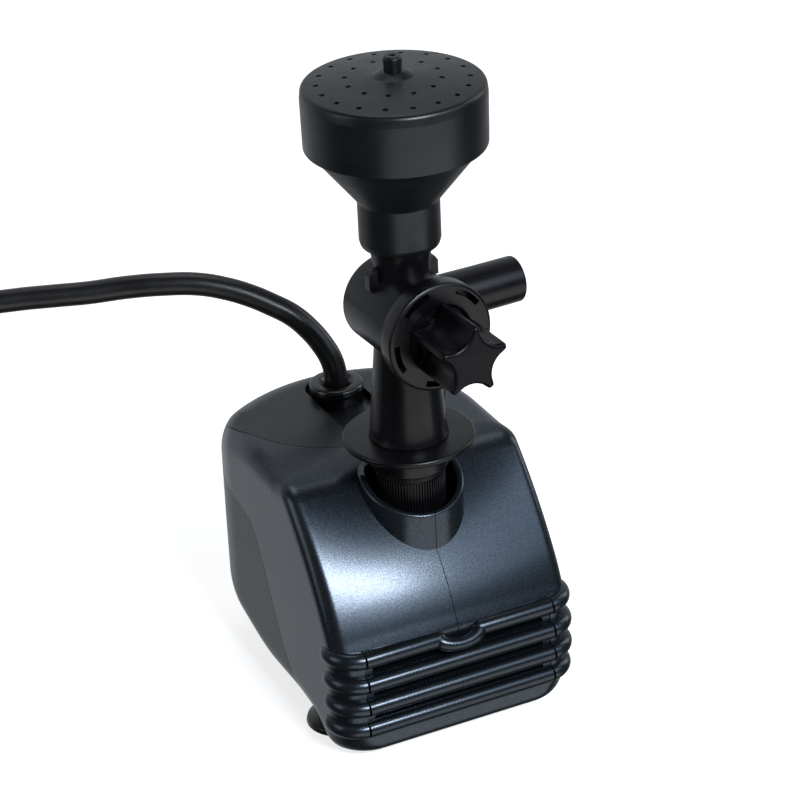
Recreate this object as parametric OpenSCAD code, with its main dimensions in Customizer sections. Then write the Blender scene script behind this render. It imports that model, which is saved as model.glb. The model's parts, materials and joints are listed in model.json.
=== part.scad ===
// Submersible fountain pump: a moulded casing on suction feet, a magnet-drive pump inside it,
// and a riser with a flow valve, a side outlet and a fountain rose.
// Frame: +Z up, -Y towards the intake grille, origin on the floor under the middle of the pump.

/* [Casing] */
// Half width of the casing between its plain sides
casing_half_w = 37.3; // [36:0.1:38]
// How far the casing's back stands behind the riser's axis
casing_back = 74.5; // [73:0.5:76]
// How far the plain front fascia stands before the riser's axis
casing_front = 27.2; // [26.6:0.1:27.6]
// Height of the casing's underside above the floor
base_z = 5; // [4.5:0.1:5.5]
// Height of the casing's flat top above the floor
top_z = 75; // [74.5:0.1:76]
// Wall thickness of the casing
wall = 2.4; // [2:0.1:2.6]
// Radius of the sloping front, seen from the side
slope_r = 57.6; // [57:0.1:58.5]
// Radius of the crown across the sloping front
crown_r = 144; // [130:1:180]

/* [Grille] */
// Half length of the removable grille
grille_half_w = 29.4; // [28.8:0.1:29.5]
// Radius of each grille bar
bar_r = 2.5; // [2.3:0.1:2.6]
// Height of the lowest bar above the floor
bar_z = 12.7; // [12.4:0.1:13]
// Distance from one bar to the next
bar_pitch = 7.9; // [7.8:0.1:8]
// Half width of the casing over its ribs
rib_half_w = 39; // [38.6:0.1:39.4]

/* [Outlet and collar] */
// Outer radius of the collar round the outlet
collar_r = 15.1; // [14.8:0.1:15.3]
// Inner radius of the collar
collar_bore_r = 13; // [12.8:0.1:13.2]
// Outer radius of the pump's outlet tube
outlet_r = 8; // [7.8:0.1:8.2]
// Radius of the water passage
passage_r = 5.5; // [5:0.1:6]

/* [Riser and valve] */
// Turn of the whole riser about its own axis, in degrees
riser_turn = 3; // [0:1:5]
// Height of the flange's top face above the floor
flange_z = 86.2; // [86:0.1:87]
// Radius of the flange
flange_r = 18.9; // [18.5:0.1:19.2]
// Height of the valve barrel's axis above the floor
barrel_z = 124.5; // [124:0.1:125]
// Outer radius of the valve barrel
barrel_r = 13.2; // [13:0.1:13.3]
// Outer radius of the valve's cap
cap_r = 15.8; // [15.6:0.1:16]
// Distance from the riser's axis to the cap's face
cap_face = 21; // [20.8:0.1:21.4]
// Distance from the riser's axis to the knob's face
knob_face = 39.3; // [39:0.1:40]
// Radius over the knob's lobes
knob_r = 10.3; // [10:0.1:10.6]
// Outer radius of the side outlet, at its straight end
side_r = 6.6; // [6.4:0.1:6.8]
// Distance from the riser's axis to the end of the side outlet
side_reach = 36; // [35:0.1:36.5]

/* [Fountain head] */
// Height of the underside of the head's neck above the floor
neck_z = 144.8; // [144.5:0.1:145.2]
// Outer radius of the neck
neck_r = 11.3; // [11:0.1:11.5]
// Outer radius of the rose
rose_r = 25.25; // [25:0.05:25.5]
// Height of the rose's flat top above the floor
rose_z = 191.3; // [191:0.1:192]
// Side of each square spray hole
spray_hole = 1.35; // [1.2:0.05:1.5]

/* [Cord] */
// Diameter of the power cord
cord_d = 7; // [6.8:0.1:7.2]
// Sideways place of the cord's gland
gland_x = 1.5; // [1:0.1:2]
// Turns of the coil that lie side by side
coil_turns = 5; // [4:1:5]
// Layers of turns on each other
coil_layers = 7; // [6:1:8]
// Radius of the coil at the middle of its turns
coil_r = 43.5; // [43:0.1:45]

/* [Hidden] */
$fn = 64;
eps = 0.01;
fit = 0.05;       // radial clearance of every turning fit
gap = 0.3;        // clearance between pieces that only come near each other

// Frame: the knob's face and the casing's back are equally far from the origin along Y
knob_front = knob_face * cos(riser_turn) + knob_r * sin(riser_turn);
axis_y = (knob_front - casing_back) / 2;

// Casing outline, measured from the riser's axis
slope_y = 28.5;   // centre of the front arc
slope_z = 20.5;
drum_y = 22;      // centre of the round back, seen from above
drum_r = casing_back - drum_y;
front_corner_r = 8.5;
edge_r = 5;       // long edges along the top
base_edge_r = 9;  // long edges along the bottom
side_lean = 1.6;  // how far the sides lean in towards the top
lean_z = 42;      // height from which they lean
rear_top_r = 12.6;
rear_base_r = 18;
ledge_z = 40.2;   // top of the upright fascia that the grille is set in
lean = 52.6;      // lean of the crowned front, in degrees above the horizon
slope_edge_r = 5.5; // round edges down both sides of the slope
crown_y = -10.7;  // a point on the crown's middle line
crown_z = 62.85;
rim_z = 73.5;     // height of the collar's rim beside the riser
rim_lean = 27;    // its slope down to the front, in degrees
seam_gap = 0.15;  // the gap that shows as a seam
// The curved seam on each side, as (y, z) from the bottom up, closed round the back
side_seam = [[-4, 0], [-3, 5], [3, 9], [8, 14], [13, 20.5], [19, 31.5], [24, 41.5], [29, 49],
    [34.5, 53], [45, 54.8], [52, 57], [56, 64], [56, 80], [90, 80], [90, 0]];

// Grille bars, lowest first; the two in the middle stand out further
bars = [for (i = [0:3]) [bar_z + i * bar_pitch, (i == 1 || i == 2) ? 0 : 0.9]];
bar_y = -casing_front - 0.6;
bend_r = 8;       // bend of the ribs round the casing's front corners
tab_r = 4.6;      // bend of the pull tab

// Drive, on an axis parallel to Y
drive_z = 34;
chamber_r = 21;
chamber_y = -11;  // front of the pump chamber
chamber_l = 18;
shaft_r = 1.5;
magnet_r = 9;
well_r = 9.8;
can_y = chamber_y + chamber_l + 1.2;
can_l = 50;
can_half_w = 26;
can_low = 14;     // underside of the motor can
can_h = 41.5;
can_skin = 1.5;
bush_r = 2.6;
bush_l = 3.5;
core_bore_r = well_r + 1 + gap;
leg_x = 18;       // middle of each leg of the stator that carries a winding
leg_half_w = 4;

// Suction feet
foot_r = 10;
foot_stem_r = 3;
foot_places = [[-27, -2.2], [27, -2.2], [-18, 46], [18, 46]];

// Cord
gland_y = 52.5;
gland_r = 7.7;
gland_top = 79.3;
gland_low = 66.5; // underside of the gland's ring, in its seat
gland_stem_r = 5;
cord_start_z = 76;
recess_front = 28;
recess_deep = 6.5;
cord_r = cord_d / 2;
pack_w = coil_turns * cord_d;
pack_h = coil_layers * cord_d;
inner_r = coil_r - pack_w / 2 + cord_r;
outer_r = coil_r + pack_w / 2 - cord_r;
coil_z = 1;
coil_y = 18;
// The lead's high run ends at fall_from. It falls in two bends with a straight slope between them,
// and reaches the coil along the floor
high_run = [[gland_x, axis_y + gland_y, cord_start_z], [gland_x, axis_y + gland_y + 0.2, 80.5],
    [0.8, 36.3, 85.5], [-1.2, 38.5, 90.5], [-4, 41.4, 95], [-7.5, 44.5, 98.8],
    [-12, 47.5, 101.8], [-17.5, 51, 104.8], [-24, 54.8, 107.3], [-31, 58.5, 108.9], [-40, 63, 109.2],
    [-50, 68, 108.6], [-60, 72.5, 107.5], [-70, 77, 107]];
fall_from = [-80, 81.5, 106.4];
fall_bend = 36;
fall_angle = 62;
fall_steps = 5;
floor_run = 22;
fall_drop = fall_from[2] - coil_z - cord_r;
fall_run = 2 * fall_bend * sin(fall_angle)
    + (fall_drop - 2 * fall_bend * (1 - cos(fall_angle))) / tan(fall_angle);
reach = fall_run + floor_run;
coil_x = fall_from[0] - reach;
lead_rise = 0.45; // how far the lead still moves back for each millimetre to the left
function fall_y(t) = fall_from[1] + (coil_y + outer_r - fall_from[1]) * t * t * (3 - 2 * t)
    + lead_rise * reach * t * (1 - t) * (1 - t);
function fall(run, drop) = [fall_from[0] - run, fall_y(run / reach), fall_from[2] - drop];
function bend_run(i) = fall_bend * sin(fall_angle * i / fall_steps);
function bend_drop(i) = fall_bend * (1 - cos(fall_angle * i / fall_steps));
lead = concat(high_run, [for (i = [0:fall_steps]) fall(bend_run(i), bend_drop(i))],
    [for (i = [fall_steps:-1:0]) fall(fall_run - bend_run(i), fall_drop - bend_drop(i))],
    [fall(reach, fall_drop)]);
// The cord rises from the innermost turn on top of the coil to the plug that lies on the coil
tail_from = -30;
tail_turn = 210;
tail_steps = 18;
plug_r = 18.5;
plug_l = 26.5;
tail_low = coil_z + pack_h - cord_r;
tail_top = coil_z + pack_h + plug_r + eps;
tail = [for (i = [0:tail_steps]) let (a = tail_from + tail_turn * i / tail_steps)
    [coil_x + inner_r * cos(a), coil_y + inner_r * sin(a),
    tail_low + (tail_top - tail_low) * (1 - cos(180 * i / tail_steps)) / 2]];
plug_turn = tail_from + tail_turn - 180;

// Valve, seen along its barrel
barrel_back = -11.5;
barrel_front = 19.3;
barrel_nose_r = barrel_r - 0.8;
cap_h = 5.8;
spool_r = 9.6;
spool_front = 15;
stem_r = 5;
knob_rest = 85;   // a lobe of the knob points this way at rest, seen from the front
knob_lip = 0.6;   // width of the knob's chamfer
spigot_r = 8;     // the riser's spigot inside the head's neck
spigot_l = 12.5;

// Fountain head
funnel_top = rose_z - 4.3;
cone_z = rose_z - 17.4;
cap_bore_r = 22.6;
rose_rest = -124.5; // a spray hole of each ring points this way at rest
jet_z = rose_z + 1.3;

// ---------- helpers ----------

module at_axis() translate([0, axis_y, 0]) children();

module at_riser() translate([0, axis_y, 0]) rotate([0, 0, riser_turn]) children();

// Lays a shape drawn in plan so that its +Z runs along -Y, towards the front
module face_front() rotate([90, 0, 0]) children();

// Lays a shape drawn as (y, z) so that it is swept along X, centred
module sweep_x(length) rotate([90, 0, 90]) linear_extrude(length, center = true) children();

// A rod along Y from y0 to y1, round the drive's axis
module drive_rod(r, y0, y1) at_axis() translate([0, y1, drive_z]) face_front() cylinder(r = r, h = y1 - y0);

module ring(outer, inner, h) difference() {
    cylinder(r = outer, h = h);
    translate([0, 0, -1]) cylinder(r = inner, h = h + 2);
}

// ---------- casing ----------

module side_outline(inset) intersection() {
    translate([-casing_front + inset, base_z + inset])
        square([casing_front + casing_back, top_z - base_z - 2 * inset]);
    union() {
        translate([slope_y, slope_z]) circle(r = slope_r - inset, $fn = 96);
        translate([slope_y, 0]) square([100, 100]);
    }
}

module plan_outline(inset) {
    half = casing_half_w - inset;
    front = -casing_front + inset;
    nose_r = front_corner_r - inset;
    translate([-half, front + nose_r]) square([2 * half, casing_back - front - nose_r]);
    translate([-half + nose_r, front]) square([2 * (half - nose_r), 30]);
    for (side = [-1, 1]) translate([side * (half - nose_r), front + nose_r]) circle(r = nose_r);
}

module cross_outline(inset) {
    half = casing_half_w - inset;
    roof = top_z - inset;
    low = base_z + inset;
    top_r = edge_r - inset;
    low_r = base_edge_r - inset;
    top_half = half - side_lean;
    translate([-half + low_r, low]) square([2 * (half - low_r), low_r + eps]);
    translate([-half, low + low_r]) square([2 * half, lean_z - low - low_r]);
    polygon([[-half, lean_z - eps], [half, lean_z - eps], [top_half, roof - top_r], [top_half - top_r, roof],
        [-top_half + top_r, roof], [-top_half, roof - top_r]]);
    for (side = [-1, 1]) {
        translate([side * (half - low_r), low + low_r]) circle(r = low_r);
        translate([side * (top_half - top_r), roof - top_r]) circle(r = top_r);
    }
}

// The round back, with a rounded top and bottom edge
module rear_drum(inset) {
    r = drum_r - inset;
    low_r = rear_base_r - inset;
    top_r = rear_top_r - inset;
    low = base_z + inset;
    roof = top_z - inset;
    translate([0, drum_y, 0]) rotate_extrude($fn = 128) {
        translate([0, low]) square([r - low_r, roof - low - top_r]);
        translate([0, low + low_r]) square([r, roof - low - low_r - top_r]);
        translate([0, roof - 2 * top_r]) square([r - top_r, 2 * top_r]);
        translate([r - low_r, low + low_r]) circle(r = low_r);
        translate([r - top_r, roof - top_r]) circle(r = top_r);
    }
    translate([-60, -60, 0]) cube([120, 60 + drum_y, 120]);
}

// Crowned front slope with round edges at its sides
module crown_outline(inset) {
    half = casing_half_w - inset;
    r = slope_edge_r - inset;
    side_y = crown_r - sqrt(pow(crown_r - slope_edge_r, 2) - pow(casing_half_w - slope_edge_r, 2));
    intersection() {
        translate([0, crown_r]) circle(r = crown_r - inset, $fn = 256);
        translate([-half + r, 0]) square([2 * (half - r), 200]);
    }
    translate([-half, side_y]) square([2 * half, 180]);
    for (side = [-1, 1]) translate([side * (half - r), side_y]) circle(r = r);
}

// Limits the casing to its crowned slope, above the upright fascia
module crown(inset) {
    translate([0, crown_y, crown_z]) rotate([lean - 90, 0, 0]) translate([0, 0, -150])
        linear_extrude(300) crown_outline(inset);
    translate([-60, -60, 0]) cube([120, 140, ledge_z - inset]);
}

// The casing's outer form, or with an inset the hollow inside it
module casing_form(inset = 0) at_axis() intersection() {
    sweep_x(120) side_outline(inset);
    linear_extrude(120) plan_outline(inset);
    translate([0, casing_back + 1, 0]) face_front() linear_extrude(120) cross_outline(inset);
    rear_drum(inset);
    crown(inset);
}

// Everything under the collar's sloping rim
module under_rim() at_axis() translate([0, 0, rim_z]) rotate([rim_lean, 0, 0])
    translate([-30, -60, -90]) cube([60, 120, 90]);

module collar() intersection() {
    at_axis() translate([0, 0, 56]) ring(collar_r, collar_bore_r, top_z - 56);
    under_rim();
}

// What belongs to the rear housing: a round panel on top, and all behind the curved side seam
module rear_region(grow = 0) at_axis() {
    translate([0, 51.5, 58]) cylinder(r = 33 + grow, h = 40);
    translate([0, -grow, 0]) sweep_x(120) polygon(side_seam);
}

// The ramped recess that the cord's gland stands in
module cord_recess(grow = 0) at_axis() translate([gland_x, recess_front, top_z])
    rotate([-atan(recess_deep / (gland_y - recess_front)), 0, 0])
    translate([-8.2 - grow, 0, -grow]) cube([16.4 + 2 * grow, gland_y + 10.5 + grow - recess_front, 20]);

module casing_rib(z, drop, side) at_axis() mirror([side < 0 ? 1 : 0, 0, 0])
    translate([rib_half_w - bar_r - bend_r, bar_y + drop + bend_r, z]) {
        rotate([0, 0, -90]) rotate_extrude(angle = 90) translate([bend_r, 0]) circle(r = bar_r, $fn = 32);
        translate([bend_r, 0, 0]) rotate([-90, 0, 0]) cylinder(r = bar_r, h = 1, $fn = 32);
        translate([bend_r, 1, 0]) sphere(r = bar_r, $fn = 32);
    }

module grille_window(grow) at_axis()
    translate([-grille_half_w - grow, -casing_front - 8, bar_z - bar_r - 0.2 - grow])
    cube([2 * (grille_half_w + grow), 14, 3 * bar_pitch + 2 * bar_r + 0.2 + 2 * grow]);

module foot_holes() for (place = foot_places) at_axis() translate([place[0], place[1], 0])
    cylinder(r = foot_stem_r, h = 20);

module front_shell(side) {
    difference() {
        union() {
            difference() {
                casing_form();
                casing_form(wall);
                at_axis() translate([0, 0, 20]) cylinder(r = collar_bore_r, h = 80);
            }
            collar();
            at_axis() translate([0, 0, 56]) ring(collar_bore_r + 1, outlet_r + gap, 2);
            for (bar = bars) casing_rib(bar[0], bar[1], side);
        }
        rear_region(seam_gap);
        grille_window(0.1);
        foot_holes();
        translate([side > 0 ? -100 : -seam_gap / 2, -100, -10]) cube([100 + seam_gap / 2, 200, 120]);
    }
}

module casing_left() color("#3a4854") front_shell(-1);

module casing_right() color("#3f4d59") front_shell(1);

module rear_housing() color("#4a5056") difference() {
    union() {
        intersection() {
            difference() {
                casing_form();
                casing_form(wall);
            }
            rear_region();
        }
        intersection() {
            casing_form();
            rear_region();
            union() {
                cord_recess(wall);
                at_axis() translate([gland_x, gland_y, 63]) cylinder(r = gland_r + 2, h = 8);
            }
        }
    }
    cord_recess();
    at_axis() translate([0, 0, 40]) cylinder(r = collar_r + seam_gap, h = 60);
    at_axis() translate([gland_x, gland_y, 40]) cylinder(r = gland_stem_r, h = 40);
    at_axis() translate([gland_x, gland_y, gland_low]) cylinder(r = gland_r, h = 40);
    foot_holes();
}

// Pull tab: the top bar dips in a U round a finger slot
module grille_tab() at_axis() translate([0, bar_y + bars[3][1], bars[3][0]]) {
    rotate([90, 0, 0]) rotate_extrude(angle = -180) translate([tab_r, 0]) circle(r = 2.1, $fn = 32);
    for (side = [-1, 1]) translate([side * tab_r, 0, 0]) sphere(r = 2.3, $fn = 32);
}

module intake_grille() color("#4a5a68") {
    difference() {
        union() {
            for (bar = bars) at_axis() translate([-grille_half_w + seam_gap, bar_y + bar[1], bar[0]])
                rotate([0, 90, 0]) cylinder(r = bar_r, h = 2 * (grille_half_w - seam_gap), $fn = 32);
            at_axis() translate([-grille_half_w + seam_gap, -casing_front + 0.4, bar_z - bar_r])
                cube([2 * (grille_half_w - seam_gap), 2, 3 * bar_pitch + 2 * bar_r]);
        }
        at_axis() translate([-tab_r, -casing_front - 6, bars[3][0] - 1.2]) cube([2 * tab_r, 6.2, 6]);
        for (i = [0:2]) at_axis() translate([-27, -casing_front - 8, bar_z + i * bar_pitch + bar_r + 0.2])
            cube([54, 12, bar_pitch - 2 * bar_r - 0.4]);
    }
    grille_tab();
    for (side = [-1, 1]) at_axis() translate([side * 27.8 - 0.8, -casing_front + 2.3, 17])
        cube([1.6, 5, 16]);
}

// Perforated plate behind the grille
module strainer_plate() color("#20262b") at_axis() difference() {
    translate([-26, -casing_front + 5, 10]) cube([52, 1.2, 29]);
    for (i = [-11:11])
        for (k = [0:10]) translate([i * 2.2 - 0.7, -casing_front + 4, 11.5 + k * 2.4]) cube([1.4, 4, 1.4]);
}

// ---------- pump and motor ----------

module pump_chamber() color("#2b2f33") difference() {
    union() {
        drive_rod(chamber_r, chamber_y, chamber_y + chamber_l);
        at_axis() translate([0, 0, drive_z]) cylinder(r = outlet_r, h = flange_z - 3 - drive_z);
    }
    drive_rod(chamber_r - 2.5, chamber_y - 1, chamber_y + chamber_l - 2.5);
    drive_rod(well_r, chamber_y, chamber_y + chamber_l + 1);
    at_axis() translate([0, 0, drive_z]) cylinder(r = passage_r, h = 100);
}

module chamber_cover() color("#33383d") difference() {
    union() {
        drive_rod(chamber_r, chamber_y - 2.5, chamber_y);
        drive_rod(chamber_r - 2.5 - gap, chamber_y - eps, chamber_y + 1.5);
    }
    difference() {
        drive_rod(8, chamber_y - 3, chamber_y + 3);
        drive_rod(3.4, chamber_y - 4, chamber_y + 4);
        at_axis() translate([-10, chamber_y - 4, drive_z - 1]) cube([20, 8, 2]);
    }
    drive_rod(bush_r, chamber_y - 3, chamber_y + 3);
}

module impeller() color("#5a6a78") difference() {
    union() {
        drive_rod(16.5, chamber_y + 9, chamber_y + 11);
        drive_rod(4.5, chamber_y + 3, chamber_y + 15.4);
        for (i = [0:5]) at_axis() translate([0, chamber_y + 9 + eps, drive_z]) rotate([0, i * 60, 0])
            translate([-0.7, -5.5, 3]) cube([1.4, 5.5, 13]);
    }
    drive_rod(shaft_r, chamber_y, chamber_y + 20);
}

module rotor_magnet() color("#2a2a2e") difference() {
    drive_rod(magnet_r, chamber_y + 15.4, can_y + 36);
    drive_rod(shaft_r, chamber_y + 10, can_y + 40);
}

module rotor_shaft() color("#c8ccd0") drive_rod(shaft_r, chamber_y - 2, can_y + 42.5);

module bush(y) difference() {
    drive_rod(bush_r, y, y + bush_l);
    drive_rod(shaft_r + fit, y - 1, y + bush_l + 1);
}

module front_bush() color("#d8d4c8") bush(chamber_y - 2.3);

module rear_bush() color("#d8d4c8") bush(can_y + 39.5);

// The sealed can that holds the stator, with the rotor's well in its middle
module motor_can() color("#22262a") difference() {
    at_axis() translate([-can_half_w, can_y, can_low]) cube([2 * can_half_w, can_l, can_h]);
    difference() {
        at_axis() translate([can_skin - can_half_w, can_y + can_skin, can_low + can_skin])
            cube([2 * (can_half_w - can_skin), can_l - 2 * can_skin, can_h - 2 * can_skin]);
        drive_rod(well_r + 1, can_y, can_y + 45.5);
    }
    drive_rod(well_r, can_y - 1, can_y + 38.5);
    drive_rod(bush_r, can_y + 38, can_y + 39.5 + bush_l);
}

module stator_core() color("#8d9399") at_axis() difference() {
    translate([-leg_x - leg_half_w, can_y + 4, drive_z - 7]) cube([2 * (leg_x + leg_half_w), 43, 14]);
    translate([0, can_y + 46, drive_z]) face_front() cylinder(r = core_bore_r, h = 60);
    for (side = [-1, 1]) translate([side * 12.5 - 1.5, can_y + 22, drive_z - 8]) cube([3, 20, 16]);
}

module winding(side) color("#a8642c") at_axis() mirror([side < 0 ? 1 : 0, 0, 0]) difference() {
    translate([leg_x - 6, can_y + 22.5, drive_z - 13]) cube([12, 19, 26]);
    translate([leg_x - leg_half_w - 0.1, can_y + 20, drive_z - 7.1]) cube([2 * leg_half_w + 0.2, 24, 14.2]);
    translate([0, can_y + 46, drive_z]) face_front() cylinder(r = core_bore_r, h = 60);
}

module coil_left() winding(-1);

module coil_right() winding(1);

// ---------- feet and gland ----------

module foot(index) color("#141414") at_axis()
    translate([foot_places[index][0], foot_places[index][1], 0]) {
        difference() {
            union() {
                cylinder(r1 = foot_r, r2 = foot_r - 0.4, h = 1.4);
                translate([0, 0, 1.4]) cylinder(r1 = foot_r - 0.4, r2 = 4.4, h = base_z - 1.4);
            }
            translate([0, 0, -eps]) cylinder(r1 = foot_r - 1.6, r2 = 2, h = 1.8);
        }
        translate([0, 0, base_z - eps]) cylinder(r = foot_stem_r, h = wall + 0.6);
        translate([0, 0, base_z + wall]) cylinder(r = foot_stem_r + 1, h = 1.6);
    }

module foot_front_left() foot(0);

module foot_front_right() foot(1);

module foot_rear_left() foot(2);

module foot_rear_right() foot(3);

module cord_gland() color("#191919") at_axis() translate([gland_x, gland_y, 0]) difference() {
    union() {
        translate([0, 0, gland_low]) cylinder(r = gland_r, h = gland_top - 1.2 - gland_low);
        translate([0, 0, gland_top - 1.2]) cylinder(r1 = gland_r, r2 = gland_r - 1.2, h = 1.2);
        translate([0, 0, gland_low - 6]) cylinder(r = gland_stem_r, h = 7);
    }
    translate([0, 0, cord_start_z]) cylinder(r = cord_r, h = 10);
    translate([0, 0, gland_top - 1.5]) cylinder(r1 = cord_r, r2 = cord_r + 1.5, h = 1.6);
}

// ---------- outlet and riser ----------

module outlet_nut() color("#1c1e20") at_axis() difference() {
    union() {
        translate([0, 0, 62]) cylinder(r = 10.5, h = 12);
        translate([0, 0, 74]) cylinder(r = 10, h = 2.4);
        for (i = [0:35]) rotate([0, 0, i * 10]) translate([10.2, -0.4, 62]) cube([0.9, 0.8, 12]);
    }
    translate([0, 0, 60]) cylinder(r = outlet_r + fit, h = 20);
}

module riser_flange() color("#1a1b1d") at_riser() difference() {
    union() {
        translate([0, 0, 76.8]) cylinder(r = 11.1, h = flange_z - 77.8);
        translate([0, 0, flange_z - 2]) cylinder(r = flange_r, h = 2);
        translate([0, 0, flange_z - eps]) cylinder(r = 7, h = 11);
    }
    translate([0, 0, 70]) cylinder(r = outlet_r + fit, h = flange_z - 72.5);
    translate([0, 0, 70]) cylinder(r = passage_r, h = 40);
}

module along_barrel() translate([0, 0, barrel_z]) rotate([90, 0, 0]) children();

// A part of the barrel or the knob, from one distance before the riser's axis to another
module barrel_rod(r, from, to) along_barrel() translate([0, 0, from]) cylinder(r = r, h = to - from);

module valve_lug(side) translate([side * 9.2, 0, barrel_z + barrel_r - 3.5]) rotate([90, 0, 0])
    linear_extrude(2.6, center = true)
    polygon([[-side * 2, 6.5], [side * 0.6, 6.5], [side * 1.6, 5], [side * 1.6, -1], [-side * 2, -1]]);

module valve_body() color("#1d1e20") at_riser() difference() {
    union() {
        translate([0, 0, flange_z]) cylinder(r = 11.4, h = 1.2);
        translate([0, 0, flange_z + 1.2]) cylinder(r1 = 11.1, r2 = 8.1, h = barrel_z - flange_z - 6);
        translate([0, 0, barrel_z]) cylinder(r = spigot_r, h = neck_z + spigot_l - barrel_z);
        translate([0, 0, neck_z - gap - 5]) cylinder(r1 = spigot_r, r2 = 8.7, h = 5);
        barrel_rod(barrel_r, barrel_back, cap_face - cap_h - 0.1);
        barrel_rod(barrel_nose_r, 10, barrel_front);
        translate([0, 0, barrel_z]) rotate([0, 90, 0]) cylinder(r1 = 7, r2 = side_r, h = side_reach - 12);
        translate([side_reach - 12 - eps, 0, barrel_z]) rotate([0, 90, 0]) cylinder(r = side_r, h = 12 + eps);
        for (side = [-1, 1]) valve_lug(side);
    }
    translate([0, 0, flange_z - 1]) cylinder(r = 7, h = 12);
    translate([0, 0, flange_z]) cylinder(r = passage_r, h = 120);
    translate([0, 0, barrel_z]) rotate([0, 90, 0]) cylinder(r = side_r - 1.5, h = 60);
    barrel_rod(spool_r + fit, barrel_back + 2, 40);
}

module valve_cap() color("#202123") at_riser() difference() {
    barrel_rod(cap_r, cap_face - cap_h, cap_face);
    barrel_rod(barrel_nose_r, 0, barrel_front);
    barrel_rod(stem_r + fit, 0, 60);
    barrel_rod(8.8, cap_face - 1, 60);
    for (i = [0:4]) along_barrel() translate([0, 0, cap_face - 1.4]) rotate([0, 0, 104 + i * 72])
        rotate_extrude(angle = 36) translate([cap_r - 2.3, 0]) square([1.1, 4]);
}

module valve_ring() color("#0c0c0c") at_riser() along_barrel() translate([0, 0, spool_front + 2.1])
    rotate_extrude() translate([7.6, 0]) circle(r = 1.6, $fn = 24);

module valve_spool() color("#2a2c2e") at_riser() difference() {
    union() {
        barrel_rod(spool_r, barrel_back + 2.2, spool_front);
        barrel_rod(stem_r, 0, cap_face - 0.5);
    }
    translate([0, 0, barrel_z - 30]) cylinder(r = passage_r - 0.5, h = 60);
    translate([0, 0, barrel_z]) rotate([0, 90, 0]) cylinder(r = passage_r - 0.5, h = 30);
}

module valve_knob() color("#17181a") at_riser() along_barrel() {
    translate([0, 0, cap_face + gap]) linear_extrude(knob_face - 1 - cap_face - gap) knob_star(0);
    translate([0, 0, knob_face - 1 - eps]) linear_extrude(1 + eps) knob_star(knob_lip);
    translate([0, 0, cap_face - 0.5]) cylinder(r = 6.8, h = 8);
}

module knob_star(inset) intersection() {
    circle(r = knob_r - inset);
    difference() {
        circle(r = knob_r + 2);
        for (i = [0:4]) rotate([0, 0, knob_rest + 36 + i * 72]) translate([13, 0]) circle(r = 6.6 + inset);
    }
}

// ---------- fountain head ----------

module head_funnel() color("#191b1e") at_riser() difference() {
    union() {
        translate([0, 0, neck_z]) cylinder(r1 = neck_r - 1.5, r2 = neck_r, h = 1.5);
        translate([0, 0, neck_z + 1.5]) cylinder(r = neck_r, h = 12);
        translate([0, 0, neck_z + 13.5]) cylinder(r1 = neck_r, r2 = 23.4, h = cone_z - gap - neck_z - 13.5);
        translate([0, 0, cone_z - gap - eps]) cylinder(r = cap_bore_r, h = funnel_top - cone_z + gap);
    }
    translate([0, 0, neck_z - 1]) cylinder(r = spigot_r + fit, h = spigot_l + 1.5);
    translate([0, 0, neck_z + spigot_l]) cylinder(r = 7, h = 3);
    translate([0, 0, neck_z + 15]) cylinder(r1 = 7, r2 = 20.6, h = cone_z - neck_z - 15);
    translate([0, 0, cone_z - eps]) cylinder(r = 20.6, h = 20);
}

module rose_cap() color("#1b1e22") at_riser() difference() {
    union() {
        translate([0, 0, cone_z]) cylinder(r = rose_r, h = rose_z - 2 - cone_z);
        translate([0, 0, rose_z - 2 - eps]) cylinder(r1 = rose_r, r2 = rose_r - 2, h = 2);
        translate([0, 0, rose_z - eps]) cylinder(r1 = 5.2, r2 = 3.2, h = 1.3);
    }
    translate([0, 0, cone_z - 1]) cylinder(r = cap_bore_r + fit, h = rose_z - 3 - cone_z);
    for (i = [0:17]) rotate([0, 0, rose_rest + i * 20]) spray(20.6);
    for (i = [0:11]) rotate([0, 0, rose_rest + i * 30]) spray(13);
    translate([0, 0, rose_z - 4]) cylinder(r = 1.6, h = 10);
}

module spray(r) translate([r - spray_hole / 2, -spray_hole / 2, rose_z - 5])
    cube([spray_hole, spray_hole, 10]);

module head_jet() color("#121315") at_riser() difference() {
    union() {
        translate([0, 0, rose_z - 3]) cylinder(r = 1.6, h = 5);
        translate([0, 0, jet_z - eps]) cylinder(r1 = 2.3, r2 = 2.5, h = 3.2);
        translate([0, 0, jet_z + 3.2 - 2 * eps]) cylinder(r1 = 2.5, r2 = 2, h = 0.6);
    }
    translate([0, 0, rose_z - 4]) cylinder(r = 0.8, h = 12);
}

// ---------- cord and plug ----------

function along(a, b) = (b - a) / norm(b - a);

// Direction of a route at point i
function heading(p, i) = along(p[max(i - 1, 0)], p[min(i + 1, len(p) - 1)]);

function sideways(d) = let (s = cross(d, [0.13, 0.21, 0.97])) s / norm(s);

function hoop(c, d, r, sides) = let (u = sideways(d), v = cross(d, u))
    [for (k = [0:sides - 1]) c + r * (cos(360 * k / sides) * u + sin(360 * k / sides) * v)];

// A round tube swept along a route
module tube(p, r, sides = 10) {
    n = len(p);
    points = [for (i = [0:n - 1]) each hoop(p[i], heading(p, i), r, sides)];
    walls = [for (i = [0:n - 2], k = [0:sides - 1]) let (a = i * sides, m = (k + 1) % sides)
        each [[a + k, a + m, a + sides + k], [a + m, a + sides + m, a + sides + k]]];
    first = [for (k = [sides - 1:-1:0]) k];
    last = [for (k = [0:sides - 1]) (n - 1) * sides + k];
    polyhedron(points, concat(walls, [first], [last]));
}

module power_cord() color("#131313") tube(lead, cord_r);

module cord_tail() color("#131313") tube(tail, cord_r);

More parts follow.
